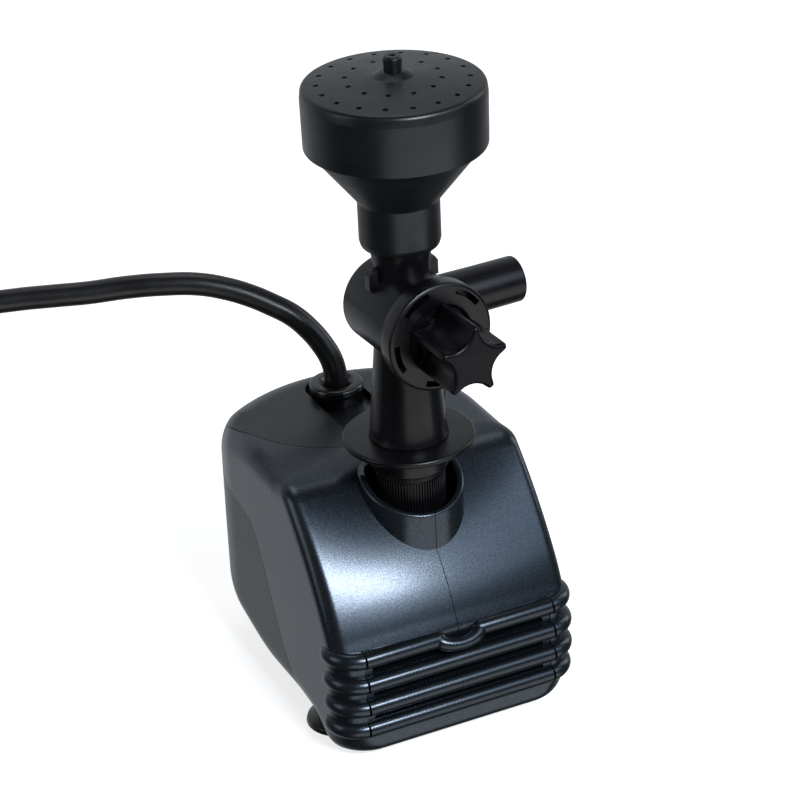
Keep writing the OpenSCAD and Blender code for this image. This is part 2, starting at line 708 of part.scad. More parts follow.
module coil_outline() translate([coil_r - pack_w / 2, 0]) {
    translate([cord_r, 0]) square([pack_w - cord_d, pack_h]);
    translate([0, cord_r]) square([pack_w, pack_h - cord_d]);
    for (x = [cord_r, pack_w - cord_r])
        for (z = [cord_r, pack_h - cord_r]) translate([x, z]) circle(r = cord_r);
}

module cord_coil() color("#131313") translate([coil_x, coil_y, coil_z]) rotate_extrude($fn = 96)
    coil_outline();

// Strap round the coil's turns
module cord_tie() color("#1f1f1f") translate([coil_x - coil_r, coil_y, coil_z + pack_h / 2]) difference() {
    cube([pack_w + 1.8, 9, pack_h + 1.8], center = true);
    cube([pack_w, 12, pack_h], center = true);
}

// Lays a shape drawn along +Z so that it points along the plug, from the cord to the pins
module at_plug(from) translate(tail[tail_steps]) rotate([0, 0, plug_turn]) rotate([90, 0, 0])
    translate([0, 0, from]) children();

// Moulded rubber mains plug lying on its side
module plug_body() color("#161616") {
    at_plug(-eps) cylinder(r1 = 5, r2 = 8, h = 10);
    at_plug(10 - 2 * eps) cylinder(r1 = 10, r2 = plug_r, h = 9);
    at_plug(19 - 3 * eps) cylinder(r = plug_r, h = plug_l - 19);
}

module plug_pins() color("#c9c9c4") for (side = [-1, 1]) at_plug(plug_l - 4 * eps)
    translate([side * 9.5, 0, 0]) {
        cylinder(r = 2.4, h = 17);
        translate([0, 0, 17 - eps]) cylinder(r1 = 2.4, r2 = 1.2, h = 2);
    }

casing_left();
casing_right();
rear_housing();
intake_grille();
strainer_plate();
pump_chamber();
chamber_cover();
impeller();
rotor_magnet();
rotor_shaft();
front_bush();
rear_bush();
motor_can();
stator_core();
coil_left();
coil_right();
foot_front_left();
foot_front_right();
foot_rear_left();
foot_rear_right();
cord_gland();
outlet_nut();
riser_flange();
valve_body();
valve_cap();
valve_ring();
valve_spool();
valve_knob();
head_funnel();
rose_cap();
head_jet();
power_cord();
cord_coil();
cord_tail();
cord_tie();
plug_body();
plug_pins();
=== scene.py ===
import json
from math import atan2, cos, pi, radians, sin, sqrt, tan

import bmesh
import bpy
import numpy as np
from mathutils import Matrix, Vector


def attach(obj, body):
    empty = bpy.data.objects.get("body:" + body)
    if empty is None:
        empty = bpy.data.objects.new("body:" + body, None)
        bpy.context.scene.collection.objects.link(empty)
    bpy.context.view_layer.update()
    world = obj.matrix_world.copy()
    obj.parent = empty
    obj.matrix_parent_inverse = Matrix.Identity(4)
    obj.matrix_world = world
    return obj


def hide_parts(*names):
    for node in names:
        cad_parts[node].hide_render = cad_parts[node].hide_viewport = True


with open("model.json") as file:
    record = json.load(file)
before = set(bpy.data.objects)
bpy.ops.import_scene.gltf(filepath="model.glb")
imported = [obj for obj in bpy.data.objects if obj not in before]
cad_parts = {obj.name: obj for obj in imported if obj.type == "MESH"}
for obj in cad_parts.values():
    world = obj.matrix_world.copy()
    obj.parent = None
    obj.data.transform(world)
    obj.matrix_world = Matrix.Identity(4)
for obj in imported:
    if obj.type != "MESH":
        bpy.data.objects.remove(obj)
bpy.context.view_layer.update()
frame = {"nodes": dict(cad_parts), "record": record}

# ---------------------------------------------------------------- shared sizes, in mm

# The riser stands on Z, at AXIS_Y from the model's middle, and is turned a little
RISER_TURN = radians(3)
AXIS_Y = ((39.3 * cos(RISER_TURN) + 10.3 * sin(RISER_TURN)) - 74.5) / 2
BARREL_Z, NECK_Z, ROSE_Z, FLANGE_Z = 124.5, 144.8, 191.3, 86.2
CONE_Z = ROSE_Z - 17.4
DOME = 2.2
JET_FOOT_Z = ROSE_Z + DOME + 1.3
# The casing, with FRONT and BACK measured from the riser's axis
HALF_W, BASE_Z, TOP_Z, WALL = 37.3, 5.0, 75.0, 2.4
FRONT, BACK, LEDGE_Z = 27.2, 74.5, 35.2
FRONT_DROP = 2.8
# The grille's bars, from the lowest up, and the ribs that carry them on round the corners
BAR_R, BAR_Z, BAR_PITCH = 2.5, 11.3, 7.6
BAR_Y = -FRONT - 0.6
GRILLE_HALF_W = 29.4
RIB_HALF_W, BEND_R = 39.0, 8.0
COLLAR_R, COLLAR_BORE_R, RIM_Z, RIM_LEAN = 15.1, 13.0, 73.3, radians(21.5)
GLAND = (1.5, 52.5)
# The cord: its coil on the floor, and the fall to the coil from the end of the high run
CORD_R = 3.5
COIL_Y, COIL_Z, COIL_R, TURNS, LAYERS = 18.0, 1.0, 43.5, 5, 7
INNER_R, OUTER_R = COIL_R - CORD_R * (TURNS - 1), COIL_R + CORD_R * (TURNS - 1)
FALL_X, FALL_Y, FALL_Z = -80.0, 81.5, 106.4
FALL_BEND, FALL_ANGLE, FALL_STEPS, FLOOR_RUN, LEAD_RISE = 36.0, radians(62), 5, 22.0, 0.45
TURN_POINTS, STEP_FROM, STEP_SPAN = 24, 0.68, 0.32
TAIL_FROM, TAIL_TURN, TAIL_STEPS = -30.0, 210.0, 18
PLUG_R, PLUG_L = 18.5, 26.5
SHARP_DEG, BEVEL_DEG = 35, 38

AXIS = Matrix.Translation((0, AXIS_Y, 0))
RISER = AXIS @ Matrix.Rotation(RISER_TURN, 4, "Z")
BARREL = RISER @ Matrix.Translation((0, 0, BARREL_Z)) @ Matrix.Rotation(pi / 2, 4, "X")
HERE = Matrix()


# ---------------------------------------------------------------- materials

class Nodes:
    """A material's node tree, with short names for the nodes that the finishes here use."""

    def __init__(self, name):
        self.material = bpy.data.materials.new(name)
        self.material.use_nodes = True
        self.tree = self.material.node_tree
        self.shader = self.tree.nodes["Principled BSDF"]
        self.place = self.add("ShaderNodeTexCoord").outputs["Object"]

    def add(self, kind, **settings):
        node = self.tree.nodes.new(kind)
        for key, value in settings.items():
            setattr(node, key, value)
        return node

    def join(self, source, target):
        self.tree.links.new(source, target)

    def noise(self, size_mm, detail):
        """Cloudy noise, 0 to 1, with features of that size."""
        node = self.add("ShaderNodeTexNoise")
        node.inputs["Scale"].default_value = 1000.0 / size_mm
        node.inputs["Detail"].default_value = detail
        self.join(self.place, node.inputs["Vector"])
        return node.outputs["Fac"]

    def cells(self, size_mm):
        """One random colour for each small cell of that size."""
        node = self.add("ShaderNodeTexVoronoi")
        node.inputs["Scale"].default_value = 1000.0 / size_mm
        self.join(self.place, node.inputs["Vector"])
        return node.outputs["Color"]

    def span(self, value, low, high, start=0.3, end=0.7):
        """Maps start..end of value to low..high."""
        node = self.add("ShaderNodeMapRange")
        for key, number in zip(("From Min", "From Max", "To Min", "To Max"), (start, end, low, high)):
            node.inputs[key].default_value = number
        self.join(value, node.inputs["Value"])
        return node.outputs["Result"]

    def mix(self, factor, a, b):
        """Mixes two colours, each a tuple or a socket."""
        node = self.add("ShaderNodeMix", data_type="RGBA")
        for key, value in ((6, a), (7, b)):
            if isinstance(value, tuple):
                node.inputs[key].default_value = (*value, 1.0)
            else:
                self.join(value, node.inputs[key])
        self.join(factor, node.inputs[0])
        return node.outputs[2]

    def bump(self, height, distance_mm, strength=1.0):
        node = self.add("ShaderNodeBump")
        node.inputs["Distance"].default_value = distance_mm / 1000.0
        node.inputs["Strength"].default_value = strength
        self.join(height, node.inputs["Height"])
        return node.outputs["Normal"]


def scaled(colour, factor):
    return tuple(min(1.0, c * factor) for c in colour)


def moulded(name, colour, roughness, grain_mm=0.5, grain_depth=0.02, variation=0.12,
            specular=0.5, sheen=0.0):
    """Moulded plastic or rubber: faint cloudy tone, worn gloss and a fine grain."""
    n = Nodes(name)
    tone = n.span(n.noise(14, 4), 0.0, 1.0)
    cloudy = n.mix(tone, scaled(colour, 1 - variation), scaled(colour, 1 + variation))
    n.join(cloudy, n.shader.inputs["Base Color"])
    n.join(n.span(n.noise(6, 3), roughness * 0.88, roughness * 1.12), n.shader.inputs["Roughness"])
    n.join(n.bump(n.noise(grain_mm, 3), grain_depth), n.shader.inputs["Normal"])
    n.shader.inputs["Specular IOR Level"].default_value = specular
    if sheen:
        n.shader.inputs["Sheen Weight"].default_value = sheen
    return n.material


def flaked(name, colour, roughness, flake_mm=0.3, depth=0.3):
    """Plastic moulded with fine metal flakes, which glint one by one."""
    n = Nodes(name)
    split = n.add("ShaderNodeSeparateColor")
    n.join(n.cells(flake_mm), split.inputs[0])
    cell = n.span(split.outputs[0], 0.0, 1.0, 0.0, 1.0)
    dark, light = scaled(colour, 1 - depth), scaled(colour, 1 + depth * 1.3)
    flakes = n.mix(cell, dark, light)
    tone = n.span(n.noise(16, 4), 0.0, 0.25)
    n.join(n.mix(tone, flakes, scaled(colour, 0.8)), n.shader.inputs["Base Color"])
    gloss = n.span(split.outputs[1], roughness * 0.88, roughness * 1.12, 0.0, 1.0)
    n.join(gloss, n.shader.inputs["Roughness"])
    n.shader.inputs["Metallic"].default_value = 0.85
    n.join(n.bump(n.noise(0.5, 2), 0.012, 0.5), n.shader.inputs["Normal"])
    n.shader.inputs["Coat Weight"].default_value = 0.35
    n.shader.inputs["Coat Roughness"].default_value = 0.22
    return n.material


def metal(name, colour, roughness, brush_mm=0.2):
    """Bare metal: faint stains, uneven gloss and fine marks of working."""
    n = Nodes(name)
    tone = n.span(n.noise(3, 3), 0.0, 1.0)
    n.join(n.mix(tone, scaled(colour, 0.9), scaled(colour, 1.05)), n.shader.inputs["Base Color"])
    n.shader.inputs["Metallic"].default_value = 1.0
    n.join(n.span(n.noise(1.5, 3), roughness * 0.8, roughness * 1.2), n.shader.inputs["Roughness"])
    n.join(n.bump(n.noise(brush_mm, 2), 0.004), n.shader.inputs["Normal"])
    return n.material


FINISH = {
    "casing_front": flaked("casing_front", (0.037, 0.048, 0.060), 0.29, 0.22, 0.36),
    "casing_rear": flaked("casing_rear", (0.034, 0.039, 0.044), 0.42, 0.3, 0.12),
    "grille": flaked("grille", (0.028, 0.037, 0.046), 0.28, 0.22, 0.2),
    "dark_plastic": moulded("dark_plastic", (0.004, 0.004, 0.005), 0.36, specular=0.3),
    "inner_plastic": moulded("inner_plastic", (0.010, 0.011, 0.012), 0.5),
    "impeller": moulded("impeller", (0.10, 0.14, 0.19), 0.4),
    "ferrite": moulded("ferrite", (0.03, 0.03, 0.033), 0.6, 0.3, 0.03),
    "steel": metal("steel", (0.62, 0.63, 0.64), 0.22),
    "ceramic": moulded("ceramic", (0.70, 0.66, 0.58), 0.35, 0.3, 0.01),
    "core_steel": metal("core_steel", (0.28, 0.29, 0.31), 0.42, 0.5),
    "copper": metal("copper", (0.55, 0.22, 0.09), 0.35, 0.6),
    "black_rubber": moulded("black_rubber", (0.005, 0.005, 0.005), 0.27, 0.4, 0.02, 0.2, 0.8),
    "riser_plastic": moulded("riser_plastic", (0.003, 0.003, 0.004), 0.30, 0.6, 0.012, 0.15, 0.36),
    "knob_plastic": moulded("knob_plastic", (0.003, 0.003, 0.004), 0.30, 0.5, 0.015, 0.12, 0.16),
    "head_plastic": moulded("head_plastic", (0.004, 0.005, 0.006), 0.36, 0.5, 0.015, 0.15),
    "cord_rubber": moulded("cord_rubber", (0.006, 0.006, 0.007), 0.34, 0.35, 0.03, 0.2, 0.7),
    "pin_metal": metal("pin_metal", (0.72, 0.70, 0.64), 0.18),
}
SLOT_OF = {row["node"]: row["material_slot"] for row in frame["record"]["subparts"]}


# ---------------------------------------------------------------- mesh helpers, all in mm until new_piece

def new_piece(name, points, faces, place=HERE):
    """A mesh object from points in mm."""
    mesh = bpy.data.meshes.new(name)
    mesh.from_pydata([tuple(map(float, p)) for p in points], [], faces)
    mesh.transform(Matrix.Scale(0.001, 4) @ place)
    mesh.validate()
    piece = bpy.data.objects.new(name, mesh)
    bpy.context.scene.collection.objects.link(piece)
    soften(piece)
    return piece


def soften(piece):
    """Shades a piece smooth, apart from its sharp edges."""
    piece.data.shade_smooth()
    piece.data.set_sharp_from_angle(angle=radians(SHARP_DEG))


def round_edges(piece, width_mm):
    edge = piece.modifiers.new("round edges", "BEVEL")
    edge.width, edge.segments = width_mm / 1000, 2
    edge.limit_method, edge.angle_limit = "ANGLE", radians(BEVEL_DEG)


def outward(piece):
    """Turns every face of a closed mesh outwards."""
    work = bmesh.new()
    work.from_mesh(piece.data)
    bmesh.ops.remove_doubles(work, verts=work.verts, dist=1e-7)
    bmesh.ops.recalc_face_normals(work, faces=work.faces)
    work.to_mesh(piece.data)
    work.free()
    return piece


def bake(piece):
    """Applies the piece's modifiers."""
    graph = bpy.context.evaluated_depsgraph_get()
    mesh = bpy.data.meshes.new_from_object(piece.evaluated_get(graph))
    piece.modifiers.clear()
    old, piece.data = piece.data, mesh
    bpy.data.meshes.remove(old)
    return piece


def combine(piece, tools, operation):
    """Cuts, joins or intersects piece with closed solids, which are used up."""
    for tool in tools:
        step = piece.modifiers.new("solid", "BOOLEAN")
        step.operation = operation
        step.solver = "MANIFOLD"
        step.object = tool
        bake(piece)
        mesh = tool.data
        bpy.data.objects.remove(tool)
        bpy.data.meshes.remove(mesh)
    soften(piece)
    return piece


def cut(piece, *tools):
    return combine(piece, tools, "DIFFERENCE")


def add(piece, *tools):
    return combine(piece, tools, "UNION")


def keep(piece, *tools):
    return combine(piece, tools, "INTERSECT")


def copy_of(piece):
    other = piece.copy()
    other.data = piece.data.copy()
    bpy.context.scene.collection.objects.link(other)
    return other


def merge(first, *others):
    """Joins meshes that only touch or pass into each other into one object."""
    work = bmesh.new()
    work.from_mesh(first.data)
    for other in others:
        work.from_mesh(other.data)
        bpy.data.objects.remove(other)
    work.to_mesh(first.data)
    work.free()
    soften(first)
    return first


def rounded(corners, closed, steps=5):
    """A line through corners (x, y, fillet radius), with an arc at each corner that has a radius."""
    line = []
    count = len(corners)
    for i, (x, y, r) in enumerate(corners):
        here = Vector((x, y))
        if r <= 0 or (not closed and i in (0, count - 1)):
            line.append((x, y))
            continue
        before = Vector(corners[i - 1][:2]) - here
        after = Vector(corners[(i + 1) % count][:2]) - here
        angle = before.angle(after)
        if angle > radians(179):
            line.append((x, y))
            continue
        reach = min(r / tan(angle / 2), before.length * 0.49, after.length * 0.49)
        r = reach * tan(angle / 2)
        before.normalize()
        after.normalize()
        centre = here + (before + after).normalized() * (r / sin(angle / 2))
        start, end = here + before * reach - centre, here + after * reach - centre
        turn = start.angle_signed(end)
        for k in range(steps + 1):
            a = -turn * k / steps
            line.append((centre.x + start.x * cos(a) - start.y * sin(a),
                         centre.y + start.x * sin(a) + start.y * cos(a)))
    return line


def lathe(name, corners, place=HERE, closed=False, steps=96):
    """Turns a line of (r, z, fillet) corners about Z. An open line starts and ends on the axis."""
    line = rounded(corners, closed)
    points, rows = [], []
    for r, z in line:
        if r < 1e-6:
            rows.append([len(points)] * steps)
            points.append((0, 0, z))
        else:
            rows.append(list(range(len(points), len(points) + steps)))
            points += [(r * cos(2 * pi * k / steps), r * sin(2 * pi * k / steps), z) for k in range(steps)]
    faces = []
    for i in range(len(rows) if closed else len(rows) - 1):
        a, b = rows[i], rows[(i + 1) % len(rows)]
        for k in range(steps):
            m = (k + 1) % steps
            face = [a[k], a[m], b[m], b[k]]
            face = [v for j, v in enumerate(face) if v not in face[:j]]
            if len(face) > 2:
                faces.append(face)
    return outward(new_piece(name, points, faces, place))


def box(name, low, high, place=HERE):
    x0, y0, z0 = low
    x1, y1, z1 = high
    points = [(x, y, z) for x in (x0, x1) for y in (y0, y1) for z in (z0, z1)]
    faces = [(0, 1, 3, 2), (4, 6, 7, 5), (0, 4, 5, 1), (2, 3, 7, 6), (0, 2, 6, 4), (1, 5, 7, 3)]
    return outward(new_piece(name, points, faces, place))


def slab(name, outline, z0, z1, place=HERE):
    """A plan outline with straight walls from z0 to z1."""
    count = len(outline)
    points = [(x, y, z0) for x, y in outline] + [(x, y, z1) for x, y in outline]
    faces = [tuple(range(count)), tuple(range(count, 2 * count))]
    faces += [(k, (k + 1) % count, count + (k + 1) % count, count + k) for k in range(count)]
    return outward(new_piece(name, points, faces, place))


def rod(name, r, z0, z1, place=HERE, steps=96):
    return lathe(name, [(0, z0, 0), (r, z0, 0), (r, z1, 0), (0, z1, 0)], place, steps=steps)


def stack(name, rings, place=HERE):
    """Skins a stack of outlines, each a list of (x, y, z) of one length, and closes both ends."""
    count = len(rings[0])
    points = [p for ring in rings for p in ring]
    faces = []
    for i in range(len(rings) - 1):
        for k in range(count):
            m = (k + 1) % count
            faces.append((i * count + k, i * count + m, (i + 1) * count + m, (i + 1) * count + k))
    faces += [tuple(range(count)), tuple(range(len(points) - count, len(points)))]
    return outward(new_piece(name, points, faces, place))


def tube(name, path, radii, place=HERE, sides=24):
    """A closed tube along a path, with its own radius at each point."""
    path = [Vector(p) for p in path]
    up = Vector((0, 0, 1))
    rings = []
    for i, p in enumerate(path):
        ahead = (path[min(i + 1, len(path) - 1)] - path[max(i - 1, 0)]).normalized()
        side = ahead.cross(up).normalized()
        over = side.cross(ahead).normalized()
        rings.append([p + radii[i] * (cos(2 * pi * k / sides) * side + sin(2 * pi * k / sides) * over)
                      for k in range(sides)])
    return stack(name, rings, place)


def show(piece, body, slot, *nodes):
    """Gives a piece its finish and its body, and hides the CAD nodes that it stands for."""
    piece.data.materials.clear()
    piece.data.materials.append(FINISH[slot])
    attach(piece, body)
    if nodes:
        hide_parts(*nodes)
    return piece


# ---------------------------------------------------------------- camera

scene = bpy.context.scene
camera = bpy.data.objects.new("camera", bpy.data.cameras.new("camera"))
scene.collection.objects.link(camera)
camera.data.lens = 130.35
camera.data.sensor_width = 36
camera.data.clip_start, camera.data.clip_end = 0.05, 20
right = Vector((0.8971, -0.4400, -0.0405))
up = Vector((0.2365, 0.4006, 0.8852))
back = Vector((-0.3732, -0.8037, 0.4635))
LOOK_AT, CAMERA_AWAY = Vector((-0.0019, -0.0165, 0.0964)), 0.8107
view = Matrix((right, up, back)).transposed().to_4x4()
view.translation = LOOK_AT + back.normalized() * CAMERA_AWAY
camera.matrix_world = view
scene.camera = camera


# ---------------------------------------------------------------- cord

# Up from the gland and out of the picture
HIGH_RUN = [(GLAND[0], AXIS_Y + GLAND[1], 76), (GLAND[0], AXIS_Y + GLAND[1] + 0.2, 80.5), (0.8, 36.3, 85.5),
            (-1.2, 38.5, 90.5), (-4, 41.4, 95), (-7.5, 44.5, 98.8), (-12, 47.5, 101.8), (-17.5, 51, 104.8),
            (-24, 54.8, 107.3), (-31, 58.5, 108.9), (-40, 63, 109.2), (-50, 68, 108.6), (-60, 72.5, 107.5),
            (-70, 77, 107)]
FALL_DROP = FALL_Z - COIL_Z - CORD_R
FALL_RUN = (2 * FALL_BEND * sin(FALL_ANGLE)
            + (FALL_DROP - 2 * FALL_BEND * (1 - cos(FALL_ANGLE))) / tan(FALL_ANGLE))
REACH = FALL_RUN + FLOOR_RUN
COIL = (FALL_X - REACH, COIL_Y)


def fall(run, drop):
    """A point of the lead past the high run, that far on in plan and that far down."""
    t = run / REACH
    across = FALL_Y + (COIL_Y + OUTER_R - FALL_Y) * t * t * (3 - 2 * t) + LEAD_RISE * REACH * t * (1 - t) ** 2
    return (FALL_X - run, across, FALL_Z - drop)


def fall_route():
    """Two bends with a straight slope between them. The run along the floor comes after them."""
    bends = [(FALL_BEND * sin(FALL_ANGLE * i / FALL_STEPS), FALL_BEND * (1 - cos(FALL_ANGLE * i / FALL_STEPS)))
             for i in range(FALL_STEPS + 1)]
    return ([fall(run, drop) for run, drop in bends]
            + [fall(FALL_RUN - run, FALL_DROP - drop) for run, drop in bends[::-1]])


def coil_route():
    """The turns, layer on layer, wound in and out in turn, and stepping over by a turn near the back."""
    rings = []
    for layer in range(LAYERS):
        row = [(INNER_R + 2 * CORD_R * i, COIL_Z + CORD_R * (2 * layer + 1)) for i in range(TURNS)]
        rings += row if layer % 2 else row[::-1]
    last = len(rings) - 1
    end = last + (TAIL_FROM + 360 - 90) / 360
    count = int(end * TURN_POINTS)
    route = []
    for i in range(count):
        turn = end * i / count
        k = min(int(turn), last)
        step = 0.0
        if k < last:
            u = max(0.0, (turn - k - STEP_FROM) / STEP_SPAN)
            step = u * u * (3 - 2 * u)
        a, b = rings[k], rings[min(k + 1, last)]
        r, z = a[0] + (b[0] - a[0]) * step, a[1] + (b[1] - a[1]) * step
        angle = radians(90 + 360 * turn)
        route.append((COIL[0] + r * cos(angle), COIL[1] + r * sin(angle), z))
    return route


def tail_route():
    """The end rises from the innermost turn on top of the coil to the plug that lies on the coil."""
    low = COIL_Z + (2 * LAYERS - 1) * CORD_R
    top = COIL_Z + 2 * LAYERS * CORD_R + PLUG_R
    route = []
    for i in range(TAIL_STEPS + 1):
        a = radians(TAIL_FROM + TAIL_TURN * i / TAIL_STEPS)
        z = low + (top - low) * (1 - cos(pi * i / TAIL_STEPS)) / 2
        route.append((COIL[0] + INNER_R * cos(a), COIL[1] + INNER_R * sin(a), z))
    return route


tail = tail_route()
PLUG = (Matrix.Translation(tail[-1]) @ Matrix.Rotation(radians(TAIL_FROM + TAIL_TURN - 180), 4, "Z")
        @ Matrix.Rotation(pi / 2, 4, "X"))

route = HIGH_RUN + fall_route() + coil_route() + tail
curve = bpy.data.curves.new("cord", "CURVE")
curve.dimensions = "3D"
curve.bevel_depth = CORD_R / 1000
curve.bevel_resolution = 6
curve.resolution_u = 4
curve.use_fill_caps = True
spline = curve.splines.new("BEZIER")
spline.bezier_points.add(len(route) - 1)
for point, place in zip(spline.bezier_points, route):
    point.co = Vector(place) / 1000
    point.handle_left_type = point.handle_right_type = "AUTO"
cord = bpy.data.objects.new("cord", curve)
scene.collection.objects.link(cord)
curve.materials.append(FINISH["cord_rubber"])
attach(cord, "casing")
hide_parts("power_cord", "cord_coil", "cord_tail")

# The tie: a rounded strap round the coil
pack_w, pack_h = 2 * CORD_R * TURNS, 2 * CORD_R * LAYERS


def strap_ring(grow):
    x, z = pack_w / 2 + grow, pack_h / 2 + grow
    return rounded([(-x, -z, 4), (x, -z, 4), (x, z, 4), (-x, z, 4)], True, 5)


STRAP_HALF_W, STRAP_GAP, STRAP_OUT = 4.5, 0.02, 0.85
strap_place = (Matrix.Translation((COIL[0] - COIL_R, COIL[1], COIL_Z + pack_h / 2))
               @ Matrix.Rotation(pi / 2, 4, "X"))
inner_line, outer_line = strap_ring(STRAP_GAP), strap_ring(STRAP_OUT)
strap_points = [(x, y, z) for z, line in ((-STRAP_HALF_W, inner_line), (-STRAP_HALF_W, outer_line),
                                          (STRAP_HALF_W, outer_line), (STRAP_HALF_W, inner_line))
                for x, y in line]
ring_count = len(inner_line)
strap_faces = [(i * ring_count + k, i * ring_count + (k + 1) % ring_count,
                ((i + 1) % 4) * ring_count + (k + 1) % ring_count, ((i + 1) % 4) * ring_count + k)
               for i in range(4) for k in range(ring_count)]
tie = outward(new_piece("cord_tie_strap", strap_points, strap_faces, strap_place))
show(tie, "casing", "cord_rubber", "cord_tie")

# The plug: a moulded body with notches in its grip, and two pins
plug = lathe("mains_plug", [(0, 0, 0), (5, 0, 0.6), (6.2, 4, 1), (5.6, 5, 0.4), (7, 9.6, 1.5), (10.4, 10.4, 2),
                            (18.2, 19.4, 2.5), (PLUG_R, 20, 0.8), (PLUG_R, PLUG_L, 1.2), (0, PLUG_L, 0)], PLUG)
notches = []
for side in (-1, 1):
    for k in range(4):
        notches.append(box("notch", (side * 17.6 - 1.6, -9, 12.6 + k * 3.2),
                           (side * 17.6 + 1.6, 9, 13.8 + k * 3.2), PLUG))
cut(plug, *notches)
show(plug, "casing", "cord_rubber", "plug_body")
pin_line = [(0, PLUG_L - 0.5, 0), (2.4, PLUG_L - 0.5, 0), (2.4, PLUG_L + 17, 0.6), (1.5, PLUG_L + 19, 0.8),
            (0, PLUG_L + 19, 0)]
pins = merge(*[lathe("pin", pin_line, PLUG @ Matrix.Translation((side * 9.5, 0, 0)), steps=32)
               for side in (-1, 1)])
pins.name = "mains_plug_pins"
show(pins, "casing", "pin_metal", "plug_pins")


# ---------------------------------------------------------------- casing

def corner_max(a, b, r):
    """The larger of two distances, with the edge between them rounded."""
    return np.minimum(np.maximum(a, b), -r) + np.hypot(np.maximum(a + r, 0), np.maximum(b + r, 0))


def ease(value, start, end):
    """Rises smoothly from 0 at start to 1 at end."""
    u = np.clip((value - start) / (end - start), 0, 1)
    return u * u * (3 - 2 * u)


# The slope's foot, its direction, and the circle that its middle is arched on
SLOPE_Y, SLOPE_Z, SLOPE_RUN, SLOPE_RISE = -23.0, 38.5, 0.607, 0.794
ARCH_R, ARCH_MID, ARCH_DROP, ARCH_HALF_W = 82.8, 13.5, 78.46, 36.0
# The round back's middle
DRUM_Y = 22


def casing_distance(x, y, z, inset):
    """About how far a point lies outside the casing's skin, in mm, from the riser's axis."""
    x = np.abs(x)
    side = x - HALF_W + 0.4 * np.clip((z - 42) / (TOP_Z - 42), 0, 1) + inset
    front = -FRONT - y + inset
    # The slope: nearly straight at its sides and arched in the middle
    lean_y, lean_z = y - SLOPE_Y, z - SLOPE_Z
    along = lean_y * SLOPE_RUN + lean_z * SLOPE_RISE
    above = lean_z * SLOPE_RUN - lean_y * SLOPE_RISE
    middle = np.clip(1 - (x / ARCH_HALF_W) ** 2, 0, 1)
    arch = np.sqrt(ARCH_R ** 2 - (along - ARCH_MID) ** 2) - ARCH_DROP
    straight = 2.0 * (1 - ((along - 23.2) / 23.2) ** 2)
    foot = 0.34 * np.clip(1 - along / 10, 0, 1) ** 2
    slope = (above + foot - straight * (1 - middle) - arch * middle) * 0.95 + inset
    corner = corner_max(side, front, 8.5 + 4.5 * np.clip((10 - z) / 6, 0, 1))
    upper = np.maximum(corner_max(side, slope, 4.0), corner)
    nose = np.minimum(upper, corner_max(corner, z - LEDGE_Z + inset, 0.8))
    # The round back
    drum = np.where(y > DRUM_Y, np.hypot(x, y - DRUM_Y) - (BACK - DRUM_Y) + inset, -50.0)
    wall = corner_max(nose, drum, 9.0)
    top_r = 3.2 + 1.6 * ease(y, 4, 14) + 7.8 * ease(y, 30, 62)
    low_r = 3.0 + 6.0 * ease(y, -20, -6) + 9.0 * ease(y, 22, 60)
    skin = corner_max(wall, z - TOP_Z + inset, np.maximum(top_r - inset, 0.5))
    base_z = BASE_Z - FRONT_DROP * ease(y, 8, -20)
    return corner_max(skin, base_z - z + inset, np.maximum(low_r - inset, 0.5))


def casing_solid(name, inset, cell):
    """Shrinks a box of square cells onto the casing's skin, along lines from a point inside it."""
    low = np.array([-HALF_W, -FRONT, BASE_Z - FRONT_DROP]) - 1.0
    high = np.array([HALF_W, BACK, TOP_Z]) + 1.0
    core = np.array([0.0, 20.0, 26.0])
    cells = np.ceil((high - low) / cell).astype(int)
    index, points, faces = {}, [], []

    def vertex(key):
        if key not in index:
            index[key] = len(points)
            points.append(low + (high - low) * np.array(key) / cells)
        return index[key]

    for axis in range(3):
        u, v = (axis + 1) % 3, (axis + 2) % 3
        for end in (0, cells[axis]):
            for i in range(cells[u]):
                for k in range(cells[v]):
                    face = []
                    for du, dv in ((0, 0), (1, 0), (1, 1), (0, 1)):
                        key = [0, 0, 0]
                        key[axis], key[u], key[v] = int(end), i + du, k + dv
                        face.append(vertex(tuple(key)))
                    faces.append(face if end else face[::-1])
    points = np.array(points)
    reach = points - core
    near, far = np.zeros(len(points)), np.ones(len(points))
    for _ in range(36):
        middle = (near + far) / 2
        p = core + reach * middle[:, None]
        outside = casing_distance(p[:, 0], p[:, 1], p[:, 2], inset) > 0
        far = np.where(outside, middle, far)
        near = np.where(outside, near, middle)
    return new_piece(name, core + reach * near[:, None], faces, AXIS)


def collar_solid():
    """The collar: a ring with a rim cut at a slope, a rounded lip and a step inside it."""
    steps = 144
    points, faces = [], []
    for k in range(steps):
        a = 2 * pi * k / steps
        rim = min(RIM_Z + COLLAR_R * sin(a) * tan(RIM_LEAN), TOP_Z - 0.4)
        line = rounded([(COLLAR_R, 52, 0), (COLLAR_R, rim, 0.9), (COLLAR_BORE_R + 0.2, rim - 0.15, 0.7),
                        (COLLAR_BORE_R - 0.1, rim - 1.6, 0.3), (COLLAR_BORE_R, 52, 0)], True, 4)
        points += [(r * cos(a), r * sin(a), z) for r, z in line]
    count = len(line)
    for k in range(steps):
        m = (k + 1) % steps
        faces += [(k * count + i, m * count + i, m * count + (i + 1) % count, k * count + (i + 1) % count)
                  for i in range(count)]
    return outward(new_piece("collar", points, faces, AXIS))


# The side seam in (y, z): its curve, and the corners that close it round the rear
SEAM_CURVED = 12
SIDE_SEAM = [(-4, 0), (-3, 5), (3, 9), (8, 14), (13, 20.5), (19, 31.5), (24, 41.5), (29, 49), (34.5, 53),
             (45, 54.8), (52, 57), (56, 64), (56, 80), (90, 80), (90, 0)]


